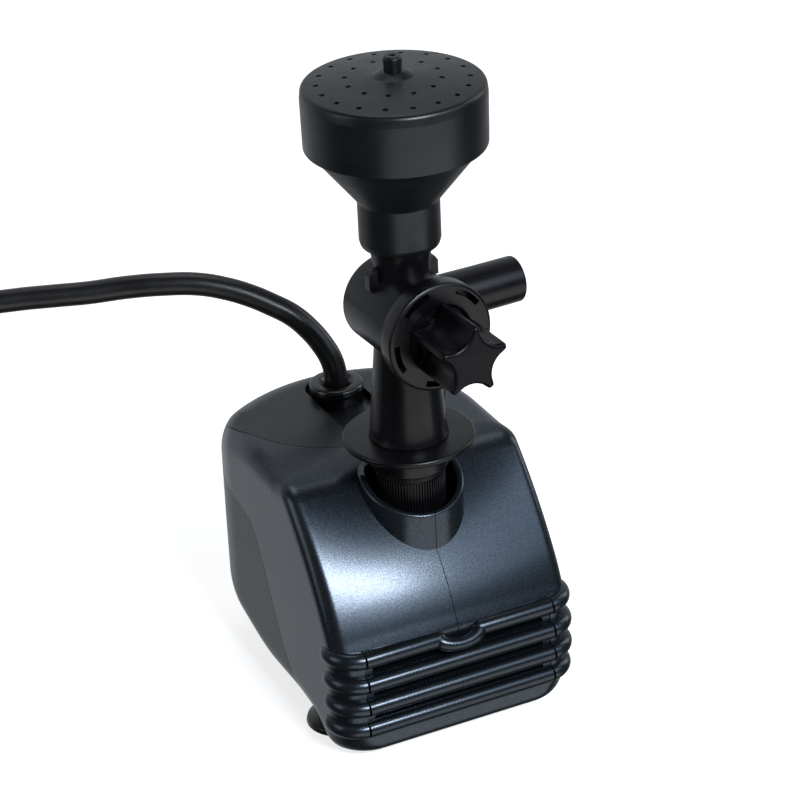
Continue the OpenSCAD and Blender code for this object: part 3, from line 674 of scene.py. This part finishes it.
def smooth_seam():
    """The side seam's line with its bends eased."""
    line = [Vector(p) for p in SIDE_SEAM[:SEAM_CURVED]]
    out = []
    for i in range(len(line) - 1):
        a, b, c, d = line[max(i - 1, 0)], line[i], line[i + 1], line[min(i + 2, len(line) - 1)]
        for k in range(6):
            t = k / 6
            out.append(0.5 * (2 * b + (c - a) * t + (2 * a - 5 * b + 4 * c - d) * t * t
                              + (3 * b - a - 3 * c + d) * t ** 3))
    return [tuple(p) for p in out] + SIDE_SEAM[SEAM_CURVED - 1:]


def rear_space(grow):
    """What belongs to the rear housing: a round panel on top, and all behind the side seams."""
    sideways = Matrix(((0, 0, 1, 0), (1, 0, 0, 0), (0, 1, 0, 0), (0, 0, 0, 1)))
    behind = slab("behind", smooth_seam(), 0, 120, AXIS @ Matrix.Translation((-60, -grow, 0)) @ sideways)
    panel = rod("panel", 33 + grow, 58, 98, AXIS @ Matrix.Translation((0, 51.5, 0)), 160)
    return add(behind, panel)


outer = casing_solid("casing_skin", 0.0, 0.95)
inner = casing_solid("casing_hollow", WALL, 2.6)
shell = cut(outer, inner)
front_shell = cut(copy_of(shell), rod("bore", COLLAR_BORE_R + 1, 50, 100, AXIS))
front_shell = add(front_shell, collar_solid())
front_shell = cut(front_shell, rear_space(0.22),
                  box("window", (-29.5, -FRONT - 8, 8.6), (29.5, -FRONT + 6, 34.6), AXIS))


RIB_FROM = 7.2  # degrees round the corner, where the bar's own end is


def rib(bar_z, drop, side):
    """A bar's end, bent round the casing's corner, that tapers off along its side."""
    centre_x, centre_y = RIB_HALF_W - BAR_R - BEND_R, BAR_Y + drop + BEND_R
    path, radii = [], []
    for k in range(15):
        a = radians(RIB_FROM + (90 - RIB_FROM) * k / 14)
        path.append((centre_x + BEND_R * sin(a), centre_y - BEND_R * cos(a), bar_z))
        radii.append(BAR_R)
    for k in range(1, 11):
        t = k / 10
        path.append((centre_x + BEND_R - 1.0 * t * t, centre_y + 3.6 * t, bar_z + 0.5 * t * t))
        radii.append(BAR_R * max(0.12, sqrt(max(0.0, 1 - (0.25 + 0.75 * t) ** 2.6))))
    path = [(side * x, y, z) for x, y, z in path]
    return tube("rib", path, radii, AXIS, 28)


# Each bar's height, and how far it lies back from the foremost ones
bars = [(BAR_Z + i * BAR_PITCH, 0.0 if i in (1, 2) else 0.9) for i in range(4)]
for side, name in ((-1, "casing_left"), (1, "casing_right")):
    # The seam shows on the slope, and is pressed shut under the grille
    spaces = [box("half", (min(side * gap, side * 80), -80, low), (max(side * gap, side * 80), 120, high), AXIS)
              for gap, low, high in ((0.1, 5.5, 130), (0.01, -10, 8.7))]
    half = keep(copy_of(front_shell), add(*spaces))
    half = merge(half, *[rib(z, drop, side) for z, drop in bars])
    half.name = name + "_skin"
    show(half, "casing", "casing_front", name)
bpy.data.objects.remove(front_shell)

# The gland's recess: its floor starts level with the top at RECESS_Y and is 3 mm deep at the gland
RECESS_Y, RECESS_DEPTH = 28, 3.0
ramp = -atan2(RECESS_DEPTH, GLAND[1] - RECESS_Y)
recess_place = AXIS @ Matrix.Translation((GLAND[0], RECESS_Y, TOP_Z)) @ Matrix.Rotation(ramp, 4, "X")
rear = keep(shell, rear_space(0.0))
recess_floor = keep(casing_solid("recess_floor", 0.05, 2.0),
                    box("under", (-10.6, 0, -WALL), (10.6, 37.0, 20), recess_place))
rear = add(rear, recess_floor)
mouth = rounded([(-8.2, 0, 1.2), (8.2, 0, 1.2), (8.2, 35, 7.5), (-8.2, 35, 7.5)], True, 8)
rear = cut(rear, slab("recess", mouth, 0, 20, recess_place),
           rod("collar_gap", COLLAR_R + 0.2, 40, 100, AXIS),
           rod("gland_seat", 7.7, 66.5, 90, AXIS @ Matrix.Translation((*GLAND, 0))))
rear.name = "rear_housing_skin"
show(rear, "casing", "casing_rear", "rear_housing")

# ---------------------------------------------------------------- grille

GRILLE_GAP, TAB_R = 0.04, 6.2
half_w = GRILLE_HALF_W - GRILLE_GAP
grille = []
for i, (z, drop) in enumerate(bars):
    place = AXIS @ Matrix.Translation((0, BAR_Y + drop, z)) @ Matrix.Rotation(pi / 2, 4, "Y")
    spans = [(-half_w, half_w)] if i < 3 else [(-half_w, -5.9), (5.9, half_w)]
    for low, high in spans:
        bar_line = [(0, low, 0), (BAR_R, low, 0.18), (BAR_R, high, 0.18), (0, high, 0)]
        grille.append(lathe("bar", bar_line, place, steps=48))
# The pull tab: a loop that bridges the gap in the top bar
tab_path, tab_radii = [], []
for k in range(25):
    a = pi + pi * k / 24
    tab_path.append((TAB_R * cos(a), BAR_Y + bars[3][1] + 2.6 * sin(a), bars[3][0] + 1.7 * sin(a)))
    tab_radii.append(1.9 + 0.5 * cos(a) ** 2)
grille.append(tube("tab", tab_path, tab_radii, AXIS, 24))
plate = box("plate", (-half_w, -FRONT + 0.4, BAR_Z - BAR_R),
            (half_w, -FRONT + 2.4, BAR_Z + 3 * BAR_PITCH + BAR_R - 0.3), AXIS)
slots = [box("slot", (-27, -FRONT - 8, BAR_Z + i * BAR_PITCH + BAR_R + 0.2),
             (27, -FRONT + 4, BAR_Z + (i + 1) * BAR_PITCH - BAR_R - 0.2), AXIS) for i in range(3)]
cut(plate, *slots)
hooks = [box("hook", (side * 27.8 - 0.8, -FRONT + 2.2, 15.5), (side * 27.8 + 0.8, -FRONT + 7.3, 31), AXIS)
         for side in (-1, 1)]
grille = merge(plate, *grille, *hooks)
grille.name = "grille_bars"
show(grille, "grille", "grille", "intake_grille")

# ---------------------------------------------------------------- gland, feet, nut

gland_place = AXIS @ Matrix.Translation((*GLAND, 0))
gland = lathe("gland_ring", [(0, 60.5, 0), (5, 60.5, 0.5), (5, 66.5, 0.2), (7.7, 66.5, 0.3), (7.5, 75.6, 0.5),
                             (8.1, 76.6, 0.5), (8.1, 78.6, 1.1), (5.4, 78.8, 0.6), (3.6, 77.2, 0.4),
                             (3.5, 76, 0), (0, 76, 0)], gland_place)
show(gland, "casing", "black_rubber", "cord_gland")

for name, x, y in (("foot_front_left", -27, -2.2), ("foot_front_right", 27, -2.2),
                   ("foot_rear_left", -18, 46), ("foot_rear_right", 18, 46)):
    foot = lathe(name + "_cup", [(0, 1.8, 0), (2, 1.8, 0.6), (8.4, 0.0, 0.2), (10, 0.0, 0.25), (9.6, 1.4, 0.5),
                                 (4.6, 4.2, 1.6), (3.4, 5.0, 0.3), (3, 5.2, 0), (3, 7.5, 0.1), (4, 7.6, 0.3),
                                 (3.4, 9, 0.6), (0, 9, 0)], AXIS @ Matrix.Translation((x, y, 0)))
    show(foot, "casing", "black_rubber", name)

nut = lathe("nut", [(8.05, 62, 0.2), (9.3, 62, 0.4), (9.3, 74, 0.3), (9.0, 76.4, 0.5), (8.05, 76.4, 0.3)],
            AXIS, True)
tooth_line = rounded([(-0.45, -0.26, 0), (0.42, -0.2, 0.15), (0.42, 0.2, 0.15), (-0.45, 0.26, 0)], True, 3)
teeth = []
for i in range(72):
    place = AXIS @ Matrix.Rotation(radians(5 * i), 4, "Z") @ Matrix.Translation((9.5, 0, 0))
    teeth.append(slab("tooth", tooth_line, 62.3, 74.4, place))
nut = merge(nut, *teeth)
nut.name = "nut_ribbed"
show(nut, "nut", "dark_plastic", "outlet_nut")

# ---------------------------------------------------------------- riser and valve

flange = lathe("flange", [(8.05, 76.8, 0.2), (11.1, 76.8, 0.5), (11.1, 84.2, 0.6), (18.6, 84.3, 0.7),
                          (18.9, FLANGE_Z, 0.9), (10, FLANGE_Z - 0.15, 0.3), (7, FLANGE_Z, 0), (7, 97, 0.4),
                          (5.5, 97, 0.2), (5.5, 84, 0), (8.05, 83.6, 0)], RISER, True)
show(flange, "riser", "riser_plastic", "riser_flange")

riser = lathe("valve", [(0, FLANGE_Z, 0), (11.4, FLANGE_Z, 0.2), (11.2, FLANGE_Z + 0.7, 0.5),
                        (11.0, FLANGE_Z + 1.6, 0.8), (8.15, BARREL_Z - 5, 1), (8.0, BARREL_Z, 0),
                        (8.0, NECK_Z - 5.3, 1), (8.65, NECK_Z - 0.4, 0.3), (8.0, NECK_Z - 0.3, 0.1),
                        (8.0, NECK_Z + 12.5, 0.8), (0, NECK_Z + 12.5, 0)], RISER, steps=128)
barrel = lathe("barrel", [(0, -11.5, 0), (13.2, -11.5, 1.3), (13.2, 15.0, 0.4), (12.4, 15.05, 0.1),
                          (12.4, 19.2, 0.2), (0, 19.2, 0)], BARREL, steps=128)
spout_place = RISER @ Matrix.Translation((0, 0, BARREL_Z)) @ Matrix.Rotation(pi / 2, 4, "Y")
spout = lathe("spout", [(0, 0, 0), (7.0, 0, 0), (6.65, 23, 1), (6.6, 36, 0.5), (0, 36, 0)], spout_place, steps=96)
riser = add(riser, barrel, spout)
lugs = []
for side in (-1, 1):
    outline = [(-side * 2, 4.6), (side * 0.6, 4.6), (side * 1.6, 3.2), (side * 1.6, -1), (-side * 2, -1)]
    place = RISER @ Matrix.Translation((side * 9.2, 0, BARREL_Z + 13.2 - 3.5)) @ Matrix.Rotation(pi / 2, 4, "X")
    lugs.append(slab("lug", outline, -1.3, 1.3, place))
riser = add(riser, *lugs)
riser = cut(riser, rod("spigot_seat", 7, 80, FLANGE_Z + 11, RISER), rod("passage", 5.5, 80, 200, RISER),
            rod("spout_bore", 5.1, 0, 60, spout_place), rod("spool_bore", 9.65, -9.5, 40, BARREL))
riser.name = "valve_moulding"
round_edges(riser, 0.35)
show(riser, "riser", "riser_plastic", "valve_body")

cap = lathe("cap", [(12.4, 15.2, 0.2), (15.6, 15.2, 0.6), (15.8, 20.6, 0.9), (14.9, 21, 0.4), (9.6, 20.9, 0.6),
                    (8.8, 20, 0.3), (5.05, 20, 0.1), (5.05, 19.3, 0), (12.4, 19.3, 0)], BARREL, True, 128)
ARC_IN, ARC_OUT, ARC_SPAN = 12.7, 14.4, radians(36)
arcs = []
for i in range(5):
    angles = [radians(104 + 72 * i) + ARC_SPAN * k / 12 for k in range(13)]
    outline = [(ARC_IN * cos(a), ARC_IN * sin(a)) for a in angles]
    outline += [(ARC_OUT * cos(a), ARC_OUT * sin(a)) for a in angles[::-1]]
    arcs.append(slab("arc", outline, 16.8, 24, BARREL))
cut(cap, *arcs)
cap.name = "cap_slotted"
show(cap, "riser", "riser_plastic", "valve_cap")

KNOB_R, KNOB_FACE, KNOB_REST = 10.3, 39.3, radians(85)
HOLLOW_AWAY, HOLLOW_R, KNOB_EDGE = 13, 6.6, 1.2


def star(inset, z):
    """The knob's outline at a height: five lobes with round hollows between them."""
    ring = []
    for k in range(240):
        a = 2 * pi * k / 240
        r = KNOB_R - inset
        for hollow in range(5):
            turn = a - (KNOB_REST + radians(36 + 72 * hollow))
            cut_r = HOLLOW_R + inset
            reach = HOLLOW_AWAY * cos(turn)
            root = cut_r ** 2 - (HOLLOW_AWAY * sin(turn)) ** 2
            if cos(turn) > 0 and root > 0:
                r = min(r, reach - sqrt(root))
        ring.append((r * cos(a), r * sin(a), z))
    ring = np.array(ring)
    for _ in range(3):
        ring[:, :2] = (np.roll(ring, 1, 0) + np.roll(ring, -1, 0) + 2 * ring)[:, :2] / 4
    return [tuple(p) for p in ring]


rings = [star(0.35, 21.3), star(0.05, 21.6), star(0.0, 22.0)]
rings += [star(0.0, 22.0 + (KNOB_FACE - 23.2) * k / 8) for k in range(1, 9)]
for k in range(1, 7):
    a = radians(15 * k)
    rings.append(star(KNOB_EDGE * (1 - cos(a)), KNOB_FACE - KNOB_EDGE + KNOB_EDGE * sin(a)))
knob = stack("knob_star", rings, BARREL)
hub = rod("hub", 6.2, 20.5, 26, BARREL)
knob = add(knob, hub)
knob.name = "knob_star"
show(knob, "knob", "knob_plastic", "valve_knob")

# ---------------------------------------------------------------- fountain head

funnel = lathe("funnel", [(8.05, NECK_Z, 0.3), (10.8, NECK_Z, 0.8), (11.3, NECK_Z + 1.8, 1),
                          (11.3, NECK_Z + 13.5, 1.2), (23.4, CONE_Z - 0.3, 0.3), (22.6, CONE_Z - 0.3, 0),
                          (22.6, ROSE_Z - 4.3, 0.4), (20.6, ROSE_Z - 4.3, 0.4), (20.6, CONE_Z, 1),
                          (7, NECK_Z + 15, 0.5), (7, NECK_Z + 13, 0), (8.05, NECK_Z + 13, 0)],
               RISER, True, 128)
show(funnel, "head", "head_plastic", "head_funnel")

rose = lathe("rose", [(0, ROSE_Z - 4, 0), (22.65, ROSE_Z - 4, 0.4), (22.65, CONE_Z, 0.3), (25.05, CONE_Z, 0.6),
                      (25.25, ROSE_Z - 3, 0.5), (24.9, ROSE_Z, 1.5), (16, ROSE_Z + 1.1, 12),
                      (5.6, ROSE_Z + DOME, 1.5), (3.2, JET_FOOT_Z, 0.4), (0, JET_FOOT_Z, 0)], RISER, False, 144)
holes = [rod("jet_bore", 1.6, ROSE_Z - 6, ROSE_Z + 8, RISER, 32)]
SPRAY_HALF_W, SPRAY_FROM = 0.68, -124.5
for hole_count, r in ((18, 20.6), (12, 13.0)):
    for i in range(hole_count):
        turn = Matrix.Rotation(radians(SPRAY_FROM + 360 * i / hole_count), 4, "Z")
        place = RISER @ turn @ Matrix.Translation((r, 0, 0))
        holes.append(box("spray", (-SPRAY_HALF_W, -SPRAY_HALF_W, ROSE_Z - 6),
                         (SPRAY_HALF_W, SPRAY_HALF_W, ROSE_Z + 4), place))
cut(rose, *holes)
rose.name = "rose_sprays"
show(rose, "rose", "head_plastic", "rose_cap")

jet = lathe("jet", [(0.8, ROSE_Z - 3, 0), (1.6, ROSE_Z - 3, 0.1), (1.6, JET_FOOT_Z, 0), (2.4, JET_FOOT_Z, 0.1),
                    (2.6, ROSE_Z + DOME + 4.9, 0.3), (2.1, ROSE_Z + DOME + 5.5, 0.3),
                    (0.8, ROSE_Z + DOME + 5.5, 0.2)], RISER, True, 48)
show(jet, "rose", "head_plastic", "head_jet")

# ---------------------------------------------------------------- CAD nodes that nothing above stands for

for name, node in frame["nodes"].items():
    if not node.hide_render:
        node.data.materials.clear()
        node.data.materials.append(FINISH[SLOT_OF[name]])
        round_edges(node, 0.2)

# ---------------------------------------------------------------- floor, light and backdrop

floor_finish = Nodes("pale_floor")
floor_finish.shader.inputs["Base Color"].default_value = (0.8, 0.8, 0.8, 1)
floor_finish.shader.inputs["Roughness"].default_value = 0.7
floor_finish.shader.inputs["Emission Color"].default_value = (1, 1, 1, 1)
floor_finish.shader.inputs["Emission Strength"].default_value = 0.75
FLOOR_HALF, FLOOR_Z = 3000, -0.1
ground = new_piece("pale_floor", [(-FLOOR_HALF, -FLOOR_HALF, FLOOR_Z), (FLOOR_HALF, -FLOOR_HALF, FLOOR_Z),
                                  (FLOOR_HALF, FLOOR_HALF, FLOOR_Z), (-FLOOR_HALF, FLOOR_HALF, FLOOR_Z)],
                   [(0, 1, 2, 3)])
ground.data.materials.append(floor_finish.material)
# Only the camera sees the floor, with the object's shadow on it. It doesn't block the light from below
ground.visible_diffuse = ground.visible_glossy = ground.visible_transmission = ground.visible_shadow = False

world = bpy.data.worlds.new("studio")
scene.world = world
world.use_nodes = True
tree = world.node_tree
tree.nodes.clear()


def world_node(kind, **values):
    node = tree.nodes.new(kind)
    for key, value in values.items():
        node.inputs[key].default_value = value
    return node


# Past the floor the camera sees plain white. The object is lit by a dim room, brighter towards its back
output = tree.nodes.new("ShaderNodeOutputWorld")
mixer = tree.nodes.new("ShaderNodeMixShader")
rays = tree.nodes.new("ShaderNodeLightPath")
white = world_node("ShaderNodeBackground", Color=(1, 1, 1, 1), Strength=1.0)
room = world_node("ShaderNodeBackground", Color=(0.90, 0.95, 1.0, 1))
direction = tree.nodes.new("ShaderNodeTexCoord")
toward = tree.nodes.new("ShaderNodeVectorMath")
toward.operation = "DOT_PRODUCT"
toward.inputs[1].default_value = (0.10, 0.98, -0.10)
backdrop = tree.nodes.new("ShaderNodeMapRange")
backdrop.interpolation_type = "SMOOTHSTEP"
for key, number in (("From Min", 0.15), ("From Max", 0.85), ("To Min", 0.05), ("To Max", 0.55)):
    backdrop.inputs[key].default_value = number
tree.links.new(direction.outputs["Generated"], toward.inputs[0])
tree.links.new(toward.outputs["Value"], backdrop.inputs["Value"])
tree.links.new(backdrop.outputs["Result"], room.inputs["Strength"])
tree.links.new(rays.outputs["Is Camera Ray"], mixer.inputs[0])
tree.links.new(room.outputs[0], mixer.inputs[1])
tree.links.new(white.outputs[0], mixer.inputs[2])
tree.links.new(mixer.outputs[0], output.inputs[0])

AIM = Vector((0, 0, 0.07))


def softbox(name, direction, distance, size, power, colour=(1, 1, 1)):
    """A rectangular light at that distance from AIM, facing it."""
    lamp = bpy.data.lights.new(name, "AREA")
    lamp.shape = "RECTANGLE"
    lamp.size, lamp.size_y = size
    lamp.energy = power
    lamp.color = colour
    thing = bpy.data.objects.new(name, lamp)
    scene.collection.objects.link(thing)
    ray = Vector(direction).normalized()
    thing.location = AIM + ray * distance
    thing.rotation_euler = (-ray).to_track_quat("-Z", "Y").to_euler()


softbox("key", (0.07, -0.79, 0.60), 1.1, (0.40, 0.18), 9.0, (0.94, 0.98, 1.06))
softbox("halo", (0.36, -0.74, 0.57), 1.1, (1.3, 0.55), 3.5, (0.82, 0.98, 1.22))
softbox("front_low", (0.12, -0.84, -0.53), 1.3, (2.2, 1.1), 8.2)
softbox("left_fill", (-0.95, 0.05, 0.35), 1.2, (0.5, 0.9), 1.8)
softbox("top", (0.15, 0.35, 0.93), 1.2, (0.5, 0.5), 1.2)
softbox("right_rim", (0.95, 0.1, 0.4), 1.2, (0.3, 0.9), 1.8)

scene.view_settings.view_transform = "Standard"
scene.view_settings.look = "None"
